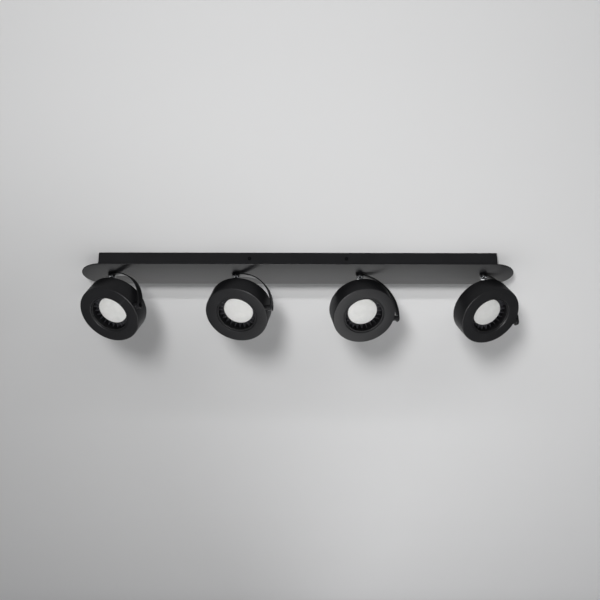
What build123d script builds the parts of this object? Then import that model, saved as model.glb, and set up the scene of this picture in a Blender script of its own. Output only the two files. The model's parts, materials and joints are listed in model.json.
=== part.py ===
from build123d import *
from math import cos, radians, sin
import os

# Ceiling spot bar: a box canopy on a ceiling bracket, a round-ended plate under it, and four
# puck-shaped LED heads.  Each head hangs from a swivel stud by a flat strip arm bent to a
# quarter circle, and tilts on a pin at the arm's lower end.
# Frame: origin at the centre of the ceiling face, +X along the bar, +Z up, heads facing -Y.

# ---- driving dimensions (mm) ----
plateLength = 800.0
plateWidth = 84.0
plateThickness = 2.0
canopyLength = 728.0
canopyWidth = 82.0
canopySheet = 1.2
barDepth = 24.2               # ceiling to the plate's underside

bracketLength = 260.0
bracketSheet = 1.5
bracketFlange = 17.0
bracketPlay = 0.2             # bracket to canopy wall, each side
setScrewX = 88.5              # canopy screws, each side of the middle
setScrewDrop = 12.5
setScrewRadius = 2.0
setScrewHead = 3.2
setScrewStandOut = 0.9
setScrewLength = 6.0
ceilingHoleSpacing = 180.0
ceilingHoleRadius = 2.6
inletRadius = 7.0             # hole in the bracket for the supply grommet
grommetBore = 4.5
grommetLip = 1.8
earthX = -45.0
earthRadius = 2.0

terminalX = 47.0
terminalLength = 34.0
terminalWidth = 18.0
terminalHeight = 12.0
terminalPoles = 3
driverX = -230.0
driverLength = 150.0
driverWidth = 30.0
driverHeight = 15.0
driverTab = 10.0
driverTabThickness = 2.0
driverScrewRadius = 1.5
leadRadius = 1.1
leadBend = 4.0

headCount = 4
headPitch = 230.0             # distance between neighbouring swivels
studRadius = 3.0
studBore = 1.6
studTop = -14.0
nutAcrossFlats = 10.0
nutHeight = 5.0
bushRadius = 6.0
bushHeight = 1.2
capRadius = 6.4
capHeight = 6.8
capDome = 2.6
capEdge = 0.5
collarRadius = 4.2            # seat of the cap against the arm
collarHeight = 0.5
swivelPlay = 0.15             # washer gap above and below the arm

armWidth = 12.5
armThickness = 2.0
armReach = 74.0               # pan axis to the arm's outer face
armTail = 8.0                 # the strip's end beyond the pan axis
armEndRadius = 4.0
armBelowPin = 6.0
pinDrop = 79.0                # plate underside to the tilt axis
pinRadius = 2.5
runningFit = 0.06             # radial clearance of the swivel and the tilt pin
pinHeadRadius = 4.3
pinHeadDepth = 1.3
pinInner = 54.6               # pan axis to the pin's inner end
spacerRadius = 5.6
spacerPlay = 0.3

headRadius = 58.0
headThickness = 36.0
headOffset = 5.0              # head axis to pan axis, towards the arm
pinSetback = 7.0              # tilt axis behind the head's front face
wall = 2.6
outerEdge = 1.6
openingRadius = 36.5
openingBevel = 1.4
lipRadius = 34.3              # retaining lip inside the opening
lipThickness = 1.6
lipRecess = 1.4
collarWall = 2.0              # tube behind the opening that holds the heat sink
bossRadius = 6.5
bossStandOut = 0.6
coverPlay = 0.3
coverThickness = 2.0
postRing = 47.5
postRadius = 4.0
postCount = 3
coverScrewRadius = 1.25
coverScrewHead = 2.9
coverScrewLength = 8.0

lensRadius = 27.2
lensRise = 1.6
lensRecess = 14.5
lensWall = 1.4
finCount = 24
finThickness = 2.0
finRecess = 12.5              # fin fronts behind the face
sleeveWall = 1.2
sinkFloor = 4.0
boardRadius = 25.5
boardThickness = 1.6
boardRecess = 26.0
chipSize = (3.5, 2.8)
chipHeight = 0.7

# Rest pose of each head, left to right: the arm's turn about the pan axis, and the beam's
# tilt from straight down.
panAngles = (-31.0, -22.0, 18.0, 32.0)
tiltAngles = (35.0, 33.0, 35.0, 38.0)

# ---- levels that follow from them ----
plateUnder = -barDepth
canopyUnder = plateUnder + plateThickness
floorTop = canopyUnder + canopySheet
bushUnder = plateUnder - bushHeight
armTop = bushUnder - swivelPlay
armUnder = armTop - armThickness
capTop = armUnder - swivelPlay
capBottom = capTop - capHeight
boreFloor = studTop - 4
tiltLevel = plateUnder - pinDrop
armInner = armReach - armThickness
bossSeat = headOffset + headRadius + bossStandOut
frontLevel = headThickness / 2
sinkTop = frontLevel - wall
sinkBase = frontLevel - boardRecess
coverInner = coverThickness - headThickness / 2
swivelSpan = headPitch * (headCount - 1) / 2
swivelXs = [headPitch * i - swivelSpan for i in range(headCount)]

os.makedirs("parts", exist_ok=True)


def save(piece, name):
    piece.part.label = name
    export_step(piece.part, f"parts/{name}.step")


# ---- ceiling bracket: a channel with its web against the ceiling ----
bracketWidth = canopyWidth - 2 * (canopySheet + bracketPlay)
flangeInset = 4.0
with BuildPart() as bracket:
    with BuildSketch(Plane.XY):
        RectangleRounded(bracketLength, bracketWidth, flangeInset / 2)
    extrude(amount=-bracketSheet)
    with BuildSketch(Plane.XY.offset(-bracketSheet)):
        with GridLocations(0, bracketWidth - bracketSheet, 1, 2):
            Rectangle(bracketLength - 2 * flangeInset, bracketSheet)
    extrude(amount=bracketSheet - bracketFlange)
    with BuildSketch(Plane.XY):
        with GridLocations(ceilingHoleSpacing, 0, 2, 1):
            Circle(ceilingHoleRadius)
        Circle(inletRadius)
        with Locations((earthX, 0)):
            Circle(earthRadius)
    extrude(amount=-bracketSheet, mode=Mode.SUBTRACT)
    with BuildSketch(Plane.XZ):
        with Locations((-setScrewX, -setScrewDrop), (setScrewX, -setScrewDrop)):
            Circle(setScrewRadius)
    extrude(amount=bracketWidth, both=True, mode=Mode.SUBTRACT)
save(bracket, "ceiling_bracket")

# ---- canopy: an open-topped tray of folded steel that hides the bracket ----
driverTabX = (driverLength + driverTab) / 2
with BuildPart() as canopy:
    with BuildSketch(Plane.XY.offset(canopyUnder)):
        RectangleRounded(canopyLength, canopyWidth, canopySheet)
    extrude(amount=-canopyUnder)
    with BuildSketch(Plane.XY.offset(floorTop)):
        Rectangle(canopyLength - 2 * canopySheet, canopyWidth - 2 * canopySheet)
    extrude(amount=-floorTop, mode=Mode.SUBTRACT)
    with BuildSketch(Plane.XY.offset(canopyUnder)):
        with GridLocations(headPitch, 0, headCount, 1):
            Circle(studRadius)
        with Locations((driverX - driverTabX, 0), (driverX + driverTabX, 0)):
            Circle(driverScrewRadius)
    extrude(amount=canopySheet, mode=Mode.SUBTRACT)
    with BuildSketch(Plane.XZ):
        with Locations((-setScrewX, -setScrewDrop), (setScrewX, -setScrewDrop)):
            Circle(setScrewRadius)
    extrude(amount=canopyWidth, both=True, mode=Mode.SUBTRACT)
save(canopy, "canopy")

# ---- plate: flat strip with semicircular ends ----
with BuildPart() as plate:
    with BuildSketch(Plane.XY.offset(plateUnder)):
        SlotOverall(plateLength, plateWidth)
    extrude(amount=plateThickness)
    chamfer(plate.faces().sort_by(Axis.Z)[0].edges(), length=0.3)
    with BuildSketch(Plane.XY.offset(plateUnder)):
        with GridLocations(headPitch, 0, headCount, 1):
            Circle(studRadius)
    extrude(amount=plateThickness, mode=Mode.SUBTRACT)
save(plate, "plate")

# ---- canopy screws: two on each long side, round head with a hexagon socket ----
screwPlaces = [(-setScrewX, 0), (setScrewX, 0)]
with BuildPart() as setScrews:
    for side in (-1, 1):
        seat = Plane(origin=(0, side * canopyWidth / 2, -setScrewDrop),
                     x_dir=(1, 0, 0), z_dir=(0, side, 0))
        with BuildSketch(seat):
            with Locations(*screwPlaces):
                Circle(setScrewHead)
        extrude(amount=setScrewStandOut)
        with BuildSketch(seat):
            with Locations(*screwPlaces):
                Circle(setScrewRadius)
        extrude(amount=-setScrewLength)
        with BuildSketch(seat.offset(setScrewStandOut)):
            with Locations(*screwPlaces):
                RegularPolygon(setScrewRadius * 0.75, 6)
        extrude(amount=-setScrewRadius, mode=Mode.SUBTRACT)
save(setScrews, "canopy_set_screws")

# ---- grommet that lines the bracket's inlet hole ----
with BuildPart() as grommet:
    with BuildSketch(Plane.XY):
        Circle(inletRadius)
    extrude(amount=-bracketSheet)
    with BuildSketch(Plane.XY.offset(-bracketSheet)):
        Circle(inletRadius + grommetLip)
    extrude(amount=-grommetLip)
    fillet(grommet.faces().sort_by(Axis.Z)[0].edges(), radius=grommetLip / 2)
    with BuildSketch(Plane.XY):
        Circle(grommetBore)
    extrude(amount=-bracketSheet - grommetLip, mode=Mode.SUBTRACT)
save(grommet, "supply_grommet")

# ---- earth screw on the bracket's web ----
earthHead = 3.6
earthHeadHeight = 2.4
with BuildPart() as earth:
    with BuildSketch(Plane(origin=(earthX, 0, 0))):
        Circle(earthRadius)
    extrude(amount=-bracketSheet)
    with BuildSketch(Plane(origin=(earthX, 0, -bracketSheet))):
        Circle(earthHead + 1)
    extrude(amount=-0.8)
    with BuildSketch(Plane(origin=(earthX, 0, -bracketSheet - 0.8))):
        Circle(earthHead)
    extrude(amount=-earthHeadHeight)
    with BuildSketch(Plane(origin=(earthX, 0, -bracketSheet - 0.8 - earthHeadHeight))):
        Rectangle(2 * earthHead, 1)
    extrude(amount=earthHeadHeight / 2, mode=Mode.SUBTRACT)
save(earth, "earth_screw")

# ---- terminal block under the bracket's web, one screw well and one wire entry a pole ----
polePitch = terminalLength / terminalPoles
wellRadius = 2.4
wellDepth = 5.0
with BuildPart() as terminal:
    with BuildSketch(Plane(origin=(terminalX, 0, -bracketSheet))):
        Rectangle(terminalWidth, terminalLength)
    extrude(amount=-terminalHeight)
    fillet(terminal.edges().filter_by(Axis.Z), radius=1.5)
    with BuildSketch(Plane(origin=(terminalX, 0, -bracketSheet - terminalHeight))):
        with GridLocations(terminalWidth / 2, polePitch, 2, terminalPoles):
            Circle(wellRadius)
    extrude(amount=wellDepth, mode=Mode.SUBTRACT)
save(terminal, "terminal_block")

with BuildPart() as terminalScrews:
    wellFloor = wellDepth - bracketSheet - terminalHeight
    with BuildSketch(Plane(origin=(terminalX, 0, wellFloor))):
        with GridLocations(terminalWidth / 2, polePitch, 2, terminalPoles):
            Circle(wellRadius - 0.4)
    extrude(amount=-wellDepth / 2)
    with BuildSketch(Plane(origin=(terminalX, 0, wellFloor - wellDepth / 2))):
        with GridLocations(terminalWidth / 2, polePitch, 2, terminalPoles):
            Rectangle(2 * wellRadius, 0.7)
    extrude(amount=0.9, mode=Mode.SUBTRACT)
save(terminalScrews, "terminal_screws")

# ---- LED driver on the canopy floor, with a screw tab at each end ----
with BuildPart() as driver:
    with BuildSketch(Plane(origin=(driverX, 0, floorTop))):
        Rectangle(driverLength, driverWidth)
    extrude(amount=driverHeight)
    fillet(driver.edges().filter_by(Axis.Z), radius=2)
    fillet(driver.faces().sort_by(Axis.Z)[-1].edges(), radius=1)
    with BuildSketch(Plane(origin=(driverX, 0, floorTop))):
        RectangleRounded(driverLength + 2 * driverTab, driverWidth / 2, 3)
    extrude(amount=driverTabThickness)
    with BuildSketch(Plane(origin=(driverX, 0, floorTop))):
        with GridLocations(2 * driverTabX, 0, 2, 1):
            Circle(driverScrewRadius)
    extrude(amount=driverTabThickness, mode=Mode.SUBTRACT)
save(driver, "led_driver")

driverScrewHead = 2.8
with BuildPart() as driverScrews:
    with BuildSketch(Plane(origin=(driverX, 0, canopyUnder))):
        with GridLocations(2 * driverTabX, 0, 2, 1):
            Circle(driverScrewRadius)
    extrude(amount=canopySheet + driverTabThickness)
    with BuildSketch(Plane(origin=(driverX, 0, floorTop + driverTabThickness))):
        with GridLocations(2 * driverTabX, 0, 2, 1):
            Circle(driverScrewHead)
    extrude(amount=driverScrewHead * 0.7)
    with BuildSketch(Plane(origin=(driverX, 0, floorTop + driverTabThickness + driverScrewHead * 0.7))):
        with GridLocations(2 * driverTabX, 0, 2, 1):
            Rectangle(driverScrewHead * 1.2, 0.7)
            Rectangle(0.7, driverScrewHead * 1.2)
    extrude(amount=-1, mode=Mode.SUBTRACT)
save(driverScrews, "driver_screws")


# ---- leads inside the canopy: each is a tube along straight runs joined by arcs ----
def leadPath(points):
    with BuildLine() as path:
        FilletPolyline(*points, radius=leadBend)
    return path.wire()


driverEnd = driverX + driverLength / 2
driverStart = driverX - driverLength / 2
leadLevel = -11.0
supplySide = 20.0
with BuildPart() as supplyLeads:
    for lane in range(terminalPoles):
        laneY = supplySide + 4 * lane
        poleY = polePitch * (lane - 1)
        driverY = 3 + 3.5 * lane
        startX = terminalX - terminalWidth / 2
        path = leadPath([(startX, poleY, leadLevel), (startX - 12, poleY, leadLevel),
                         (startX - 34, laneY, leadLevel), (driverEnd + 32, laneY, leadLevel),
                         (driverEnd + 12, driverY, leadLevel), (driverEnd, driverY, leadLevel)])
        with BuildSketch(Plane(origin=path @ 0, z_dir=path % 0)):
            Circle(leadRadius)
        sweep(path=path)
save(supplyLeads, "supply_leads")

lampSide = -21.0
lampTop = studTop + 8
with BuildPart() as lampLeads:
    for swivelX, endX, away in ((swivelXs[0], driverStart, -1), (swivelXs[1], driverEnd, 1)):
        path = leadPath([(endX, 0, leadLevel), (endX + 12 * away, 0, leadLevel),
                         (endX + 24 * away, 0, lampTop), (swivelX, 0, lampTop),
                         (swivelX, 0, studTop - 3)])
        with BuildSketch(Plane(origin=path @ 0, z_dir=path % 0)):
            Circle(leadRadius)
        sweep(path=path)
    for lane, swivelX in enumerate(swivelXs[2:]):
        laneY = lampSide - 4 * lane
        driverY = -4 - 4 * lane
        path = leadPath([(driverEnd, driverY, leadLevel), (driverEnd + 12, driverY, leadLevel),
                         (driverEnd + 24, laneY, leadLevel), (swivelX - 28, laneY, leadLevel),
                         (swivelX - 12, 0, lampTop), (swivelX, 0, lampTop),
                         (swivelX, 0, studTop - 3)])
        with BuildSketch(Plane(origin=path @ 0, z_dir=path % 0)):
            Circle(leadRadius)
        sweep(path=path)
save(lampLeads, "lamp_leads")

# ---- nuts that clamp the studs, canopy floor and plate together ----
with BuildPart() as nuts:
    with BuildSketch(Plane.XY.offset(floorTop)):
        with GridLocations(headPitch, 0, headCount, 1):
            RegularPolygon(nutAcrossFlats / 2, 6, major_radius=False)
            Circle(studRadius, mode=Mode.SUBTRACT)
    extrude(amount=nutHeight)
save(nuts, "stud_nuts")


# ---- swivel: a black bush under the plate and a hollow stud with a chrome domed cap ----
def buildSwivel(number, swivelX):
    axis = Axis((swivelX, 0, 0), (0, 0, 1))
    section = Plane(origin=(swivelX, 0, 0), x_dir=(1, 0, 0), z_dir=(0, -1, 0))
    with BuildPart() as bush:
        with BuildSketch(Plane(origin=(swivelX, 0, bushUnder))):
            Circle(bushRadius)
            Circle(studRadius, mode=Mode.SUBTRACT)
        extrude(amount=bushHeight)
    save(bush, f"swivel_bush_{number}")

    with BuildPart() as stud:
        with BuildSketch(section):
            with BuildLine():
                Polyline((0, capBottom), (0, boreFloor), (studBore, boreFloor),
                         (studBore, studTop), (studRadius, studTop), (studRadius, capTop),
                         (collarRadius, capTop), (collarRadius, capTop - collarHeight),
                         (capRadius - capEdge, capTop - collarHeight),
                         (capRadius, capTop - collarHeight - capEdge),
                         (capRadius, capBottom + capDome))
                TangentArc((0, capBottom), (capRadius, capBottom + capDome), tangent=(1, 0))
            make_face()
        revolve(axis=axis)
    save(stud, f"swivel_stud_{number}")


# ---- arm: a flat strip, straight over the swivel, a quarter circle, then straight past the pin ----
def buildArm(number, swivelX, side):
    section = Plane(origin=(swivelX, 0, 0), x_dir=side, z_dir=side.cross(Vector(0, 0, 1)))
    pivot = Vector(swivelX, 0, tiltLevel)
    bendLevel = armTop - armReach
    armBottom = tiltLevel - armBelowPin
    with BuildPart() as arm:
        with BuildSketch(section):
            with BuildLine():
                Line((-armTail, armTop), (0, armTop))
                CenterArc((0, bendLevel), armReach, 0, 90)
                Line((armReach, bendLevel), (armReach, armBottom))
                Line((armReach, armBottom), (armInner, armBottom))
                Line((armInner, armBottom), (armInner, bendLevel))
                CenterArc((0, bendLevel), armInner, 0, 90)
                Line((0, armUnder), (-armTail, armUnder))
                Line((-armTail, armUnder), (-armTail, armTop))
            make_face()
        extrude(amount=armWidth / 2, both=True)
        shortEdges = arm.edges().filter_by(lambda edge: edge.length < armThickness * 1.01)
        fillet(shortEdges.sort_by(Axis.Z)[-2:], radius=armWidth / 2 - 0.1)
        shortEdges = arm.edges().filter_by(lambda edge: edge.length < armThickness * 1.01)
        fillet(shortEdges.sort_by(Axis.Z)[:2], radius=armEndRadius)
        with BuildSketch(Plane(origin=(swivelX, 0, armTop))):
            Circle(studRadius + runningFit)
        extrude(amount=-2 * armThickness, mode=Mode.SUBTRACT)
        with BuildSketch(section):
            with BuildLine():
                Polyline((armInner, tiltLevel), (armInner, tiltLevel + pinRadius + runningFit),
                         (armReach - pinHeadDepth - 0.2, tiltLevel + pinRadius + runningFit),
                         (armReach, tiltLevel + pinHeadRadius + 0.2), (armReach, tiltLevel),
                         close=True)
            make_face()
        revolve(axis=Axis(pivot, side), mode=Mode.SUBTRACT)
    save(arm, f"arm_{number}")


# ---- tilt pin, screwed into the housing and flush in the arm, and the spacer around it ----
def buildTiltPin(number, swivelX, side, beam):
    section = Plane(origin=(swivelX, 0, 0), x_dir=side, z_dir=side.cross(Vector(0, 0, 1)))
    pivot = Vector(swivelX, 0, tiltLevel)
    pinOuter = armReach - 0.1
    with BuildPart() as pin:
        with BuildSketch(section):
            with BuildLine():
                Polyline((pinInner, tiltLevel), (pinInner, tiltLevel + pinRadius),
                         (armReach - pinHeadDepth, tiltLevel + pinRadius),
                         (pinOuter, tiltLevel + pinHeadRadius), (pinOuter, tiltLevel), close=True)
            make_face()
        revolve(axis=Axis(pivot, side))
        with BuildSketch(Plane(origin=pivot + side * pinOuter, x_dir=beam, z_dir=side)):
            RegularPolygon(pinRadius * 0.6, 6)
        extrude(amount=-pinRadius * 0.6, mode=Mode.SUBTRACT)
    save(pin, f"tilt_pin_{number}")

    with BuildPart() as spacer:
        with BuildSketch(Plane(origin=pivot + side * bossSeat, x_dir=beam, z_dir=side)):
            Circle(spacerRadius)
            Circle(pinRadius, mode=Mode.SUBTRACT)
        extrude(amount=armInner - spacerPlay - bossSeat)
    save(spacer, f"tilt_spacer_{number}")


# ---- housing: a drum with a flat annular face and an inner collar, open at the back ----
def buildHousing(number, drum, pivot, side, beam):
    with BuildPart() as housing:
        with BuildSketch(drum.offset(-headThickness / 2)):
            Circle(headRadius)
        extrude(amount=headThickness)
        fillet(housing.edges(), radius=outerEdge)
        with BuildSketch(drum.offset(-headThickness / 2)):
            Circle(headRadius - wall)
        extrude(amount=headThickness - wall, mode=Mode.SUBTRACT)
        with BuildSketch(drum.offset(coverInner)):
            with PolarLocations(postRing, postCount, start_angle=60):
                Circle(postRadius)
        extrude(amount=sinkTop - coverInner)
        with BuildSketch(Plane(origin=pivot + side * bossSeat, x_dir=beam, z_dir=side)):
            Circle(bossRadius)
        extrude(amount=pinInner - bossSeat)
        with BuildSketch(drum.offset(sinkBase - sinkFloor)):
            Circle(openingRadius + collarWall)
            Circle(openingRadius, mode=Mode.SUBTRACT)
        extrude(amount=sinkTop - sinkBase + sinkFloor)
        with BuildSketch(drum.offset(sinkTop)):
            Circle(openingRadius)
        extrude(amount=wall, mode=Mode.SUBTRACT)
        rim = housing.edges().filter_by(GeomType.CIRCLE).filter_by(
            lambda edge: abs(edge.radius - openingRadius) < 0.01)
        chamfer(rim.sort_by(Axis(drum.origin, beam))[-1], length=openingBevel)
        with BuildSketch(drum.offset(headThickness / 2 - lipRecess - lipThickness)):
            Circle(openingRadius + collarWall / 4)
            Circle(lipRadius, mode=Mode.SUBTRACT)
        extrude(amount=lipThickness)
        with BuildSketch(drum.offset(coverInner)):
            with PolarLocations(postRing, postCount, start_angle=60):
                Circle(coverScrewRadius)
        extrude(amount=coverScrewLength, mode=Mode.SUBTRACT)
        with BuildSketch(Plane(origin=pivot + side * bossSeat, x_dir=beam, z_dir=side)):
            Circle(pinRadius)
        extrude(amount=pinInner - bossSeat, mode=Mode.SUBTRACT)
    save(housing, f"housing_{number}")


# ---- rear cover disc with three sunk screws ----
def buildRearCover(number, drum):
    headSink = 1.0
    with BuildPart() as cover:
        with BuildSketch(drum.offset(-headThickness / 2)):
            Circle(headRadius - wall - coverPlay)
        extrude(amount=coverThickness)
        with BuildSketch(drum.offset(-headThickness / 2)):
            with PolarLocations(postRing, postCount, start_angle=60):
                Circle(coverScrewHead + 0.2)
        extrude(amount=headSink, mode=Mode.SUBTRACT)
        with BuildSketch(drum.offset(-headThickness / 2)):
            with PolarLocations(postRing, postCount, start_angle=60):
                Circle(coverScrewRadius)
        extrude(amount=coverThickness, mode=Mode.SUBTRACT)
    save(cover, f"rear_cover_{number}")

    with BuildPart() as screws:
        with BuildSketch(drum.offset(headSink - headThickness / 2)):
            with PolarLocations(postRing, postCount, start_angle=60):
                Circle(coverScrewHead)
        extrude(amount=-headSink)
        with BuildSketch(drum.offset(headSink - headThickness / 2)):
            with PolarLocations(postRing, postCount, start_angle=60):
                Circle(coverScrewRadius)
        extrude(amount=coverScrewLength)
        with BuildSketch(drum.offset(-headThickness / 2)):
            with PolarLocations(postRing, postCount, start_angle=60):
                Rectangle(coverScrewHead * 1.2, 0.7)
                Rectangle(0.7, coverScrewHead * 1.2)
        extrude(amount=headSink * 0.6, mode=Mode.SUBTRACT)
    save(screws, f"cover_screws_{number}")


# ---- heat sink: a flange clamped by the cover, a floor, a sleeve for the diffuser, and fins ----
def buildHeatSink(number, drum):
    sleeveOuter = lensRadius + 0.2 + sleeveWall
    finInner = sleeveOuter - sleeveWall / 2
    finOuter = openingRadius - 0.2
    with BuildPart() as sink:
        with BuildSketch(drum.offset(coverInner)):
            Circle(openingRadius + collarWall)
        extrude(amount=sinkBase - sinkFloor - coverInner)
        with BuildSketch(drum.offset(sinkBase - sinkFloor)):
            Circle(finOuter)
        extrude(amount=sinkFloor)
        with BuildSketch(drum.offset(sinkBase)):
            Circle(sleeveOuter)
            Circle(sleeveOuter - sleeveWall, mode=Mode.SUBTRACT)
        extrude(amount=boardRecess - lensRecess - 1)
        with BuildSketch(drum.offset(sinkBase)):
            with PolarLocations((finInner + finOuter) / 2, finCount):
                Rectangle(finOuter - finInner, finThickness)
        extrude(amount=boardRecess - finRecess)
    save(sink, f"heat_sink_{number}")


# ---- LED board: a disc with a chip at the middle and two rings of chips ----
def buildLedBoard(number, drum):
    with BuildPart() as board:
        with BuildSketch(drum.offset(sinkBase)):
            Circle(boardRadius)
        extrude(amount=boardThickness)
        with BuildSketch(drum.offset(sinkBase + boardThickness)):
            Rectangle(*chipSize)
            with PolarLocations(boardRadius * 0.36, 6):
                Rectangle(*chipSize)
            with PolarLocations(boardRadius * 0.72, 12):
                Rectangle(*chipSize)
        extrude(amount=chipHeight)
    save(board, f"led_board_{number}")


# ---- diffuser: an opal cap with a straight skirt and a shallow dome ----
def buildDiffuser(number, drum, side, beam):
    section = Plane(origin=drum.origin, x_dir=side, z_dir=side.cross(beam))
    rimLevel = frontLevel - lensRecess
    skirtEnd = sinkBase + boardThickness
    inner = lensRadius - lensWall
    with BuildPart() as diffuser:
        with BuildSketch(section):
            with BuildLine():
                TangentArc((0, rimLevel + lensRise), (lensRadius, rimLevel), tangent=(1, 0))
                Polyline((lensRadius, rimLevel), (lensRadius, skirtEnd), (inner, skirtEnd),
                         (inner, rimLevel))
                TangentArc((0, rimLevel + lensRise - lensWall), (inner, rimLevel), tangent=(1, 0))
                Line((0, rimLevel + lensRise - lensWall), (0, rimLevel + lensRise))
            make_face()
        revolve(axis=Axis(drum.origin, beam))
    save(diffuser, f"diffuser_{number}")


for index, swivelX in enumerate(swivelXs):
    number = index + 1
    pan = radians(panAngles[index])
    tilt = radians(tiltAngles[index])
    side = Vector(cos(pan), sin(pan), 0)
    beam = Vector(sin(tilt) * sin(pan), -sin(tilt) * cos(pan), -cos(tilt))
    pivot = Vector(swivelX, 0, tiltLevel)
    middle = pivot + side * headOffset - beam * (headThickness / 2 - pinSetback)
    drum = Plane(origin=middle, x_dir=side, z_dir=beam)
    buildSwivel(number, swivelX)
    buildArm(number, swivelX, side)
    buildTiltPin(number, swivelX, side, beam)
    buildHousing(number, drum, pivot, side, beam)
    buildRearCover(number, drum)
    buildHeatSink(number, drum)
    buildLedBoard(number, drum)
    buildDiffuser(number, drum, side, beam)
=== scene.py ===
import json
from math import atan2, cos, pi, radians, sin, sqrt

import bmesh
import bpy
from mathutils import Euler, Matrix, Vector

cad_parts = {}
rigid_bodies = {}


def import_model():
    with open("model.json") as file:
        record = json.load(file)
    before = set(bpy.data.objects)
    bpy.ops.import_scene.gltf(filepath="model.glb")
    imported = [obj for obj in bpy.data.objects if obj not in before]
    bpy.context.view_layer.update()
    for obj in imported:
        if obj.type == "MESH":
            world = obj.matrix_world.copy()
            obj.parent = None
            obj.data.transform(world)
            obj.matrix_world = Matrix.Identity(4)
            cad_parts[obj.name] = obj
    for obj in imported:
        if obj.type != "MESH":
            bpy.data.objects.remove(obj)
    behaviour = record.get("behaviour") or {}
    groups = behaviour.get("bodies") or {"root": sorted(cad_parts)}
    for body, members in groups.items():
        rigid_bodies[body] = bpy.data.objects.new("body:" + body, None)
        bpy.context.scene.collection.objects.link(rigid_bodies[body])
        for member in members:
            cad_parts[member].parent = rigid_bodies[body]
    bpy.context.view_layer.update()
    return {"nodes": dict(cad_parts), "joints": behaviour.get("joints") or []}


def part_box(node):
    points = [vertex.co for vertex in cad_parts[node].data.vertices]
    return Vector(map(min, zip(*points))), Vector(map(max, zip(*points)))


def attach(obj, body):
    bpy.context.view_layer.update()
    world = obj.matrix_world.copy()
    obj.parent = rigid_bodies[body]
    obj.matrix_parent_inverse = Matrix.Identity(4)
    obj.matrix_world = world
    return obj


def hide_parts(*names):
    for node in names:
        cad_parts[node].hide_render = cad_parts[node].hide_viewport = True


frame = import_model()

mm = 0.001
joints = {joint["name"]: joint for joint in frame["joints"]}
headNumbers = range(1, 5)
print("frame loaded:", len(frame["nodes"]), "nodes")


# small helpers for nodes and colour
def linearColour(hexCode):  # sRGB hex to linear
    channels = [int(hexCode[i:i + 2], 16) / 255 for i in (1, 3, 5)]
    return [c / 12.92 if c <= 0.04045 else ((c + 0.055) / 1.055) ** 2.4 for c in channels] + [1.0]


def addNode(tree, kind, settings=None, links=None):
    node = tree.nodes.new(kind)
    for name, value in (settings or {}).items():
        if name in node.inputs:
            node.inputs[name].default_value = value
        else:
            setattr(node, name, value)
    for name, source in (links or {}).items():
        tree.links.new(source, node.inputs[name])
    return node


def newMaterial(name):
    material = bpy.data.materials.new(name)
    material.use_nodes = True
    tree = material.node_tree
    tree.nodes.clear()
    output = addNode(tree, "ShaderNodeOutputMaterial")
    shader = addNode(tree, "ShaderNodeBsdfPrincipled")
    tree.links.new(shader.outputs["BSDF"], output.inputs["Surface"])
    return material, tree, shader


def grainOf(sizeMm):  # noise scale for a pattern of that size, in cells a metre
    return 1000 / sizeMm


noiseMiddle = {"From Min": 0.3, "From Max": 0.7}  # where most of a noise lies, to be spread over a whole range
mixA, mixB, mixed = 6, 7, 2                      # the colour sockets of a Mix node
skinDepth = 0.05 * mm                            # relief of plated and moulded skins


# materials, each named for what it is and how its surface was made
coatLook = {
    "dark": "#121214", "pale": "#19191b",     # the film, and where it lies thinner or dusty
    "edge": "#3c3c3e",                        # rubbed edges, with a painted highlight along them
    "orangePeel": 1.6, "grit": 0.45,          # mm; the real grit is 0.1 mm, drawn coarser so it shows
    "patch": 38.0, "roughLow": 0.34, "roughHigh": 0.44, "bump": 0.16, "filmDepth": 0.1,
    "wearAndHighlightFrom": 0.54, "wearAndHighlightFull": 0.66, "wearAndHighlight": 0.35,  # how sharp an edge has to be to show rubbing and a painted highlight, and how much
}


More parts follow.
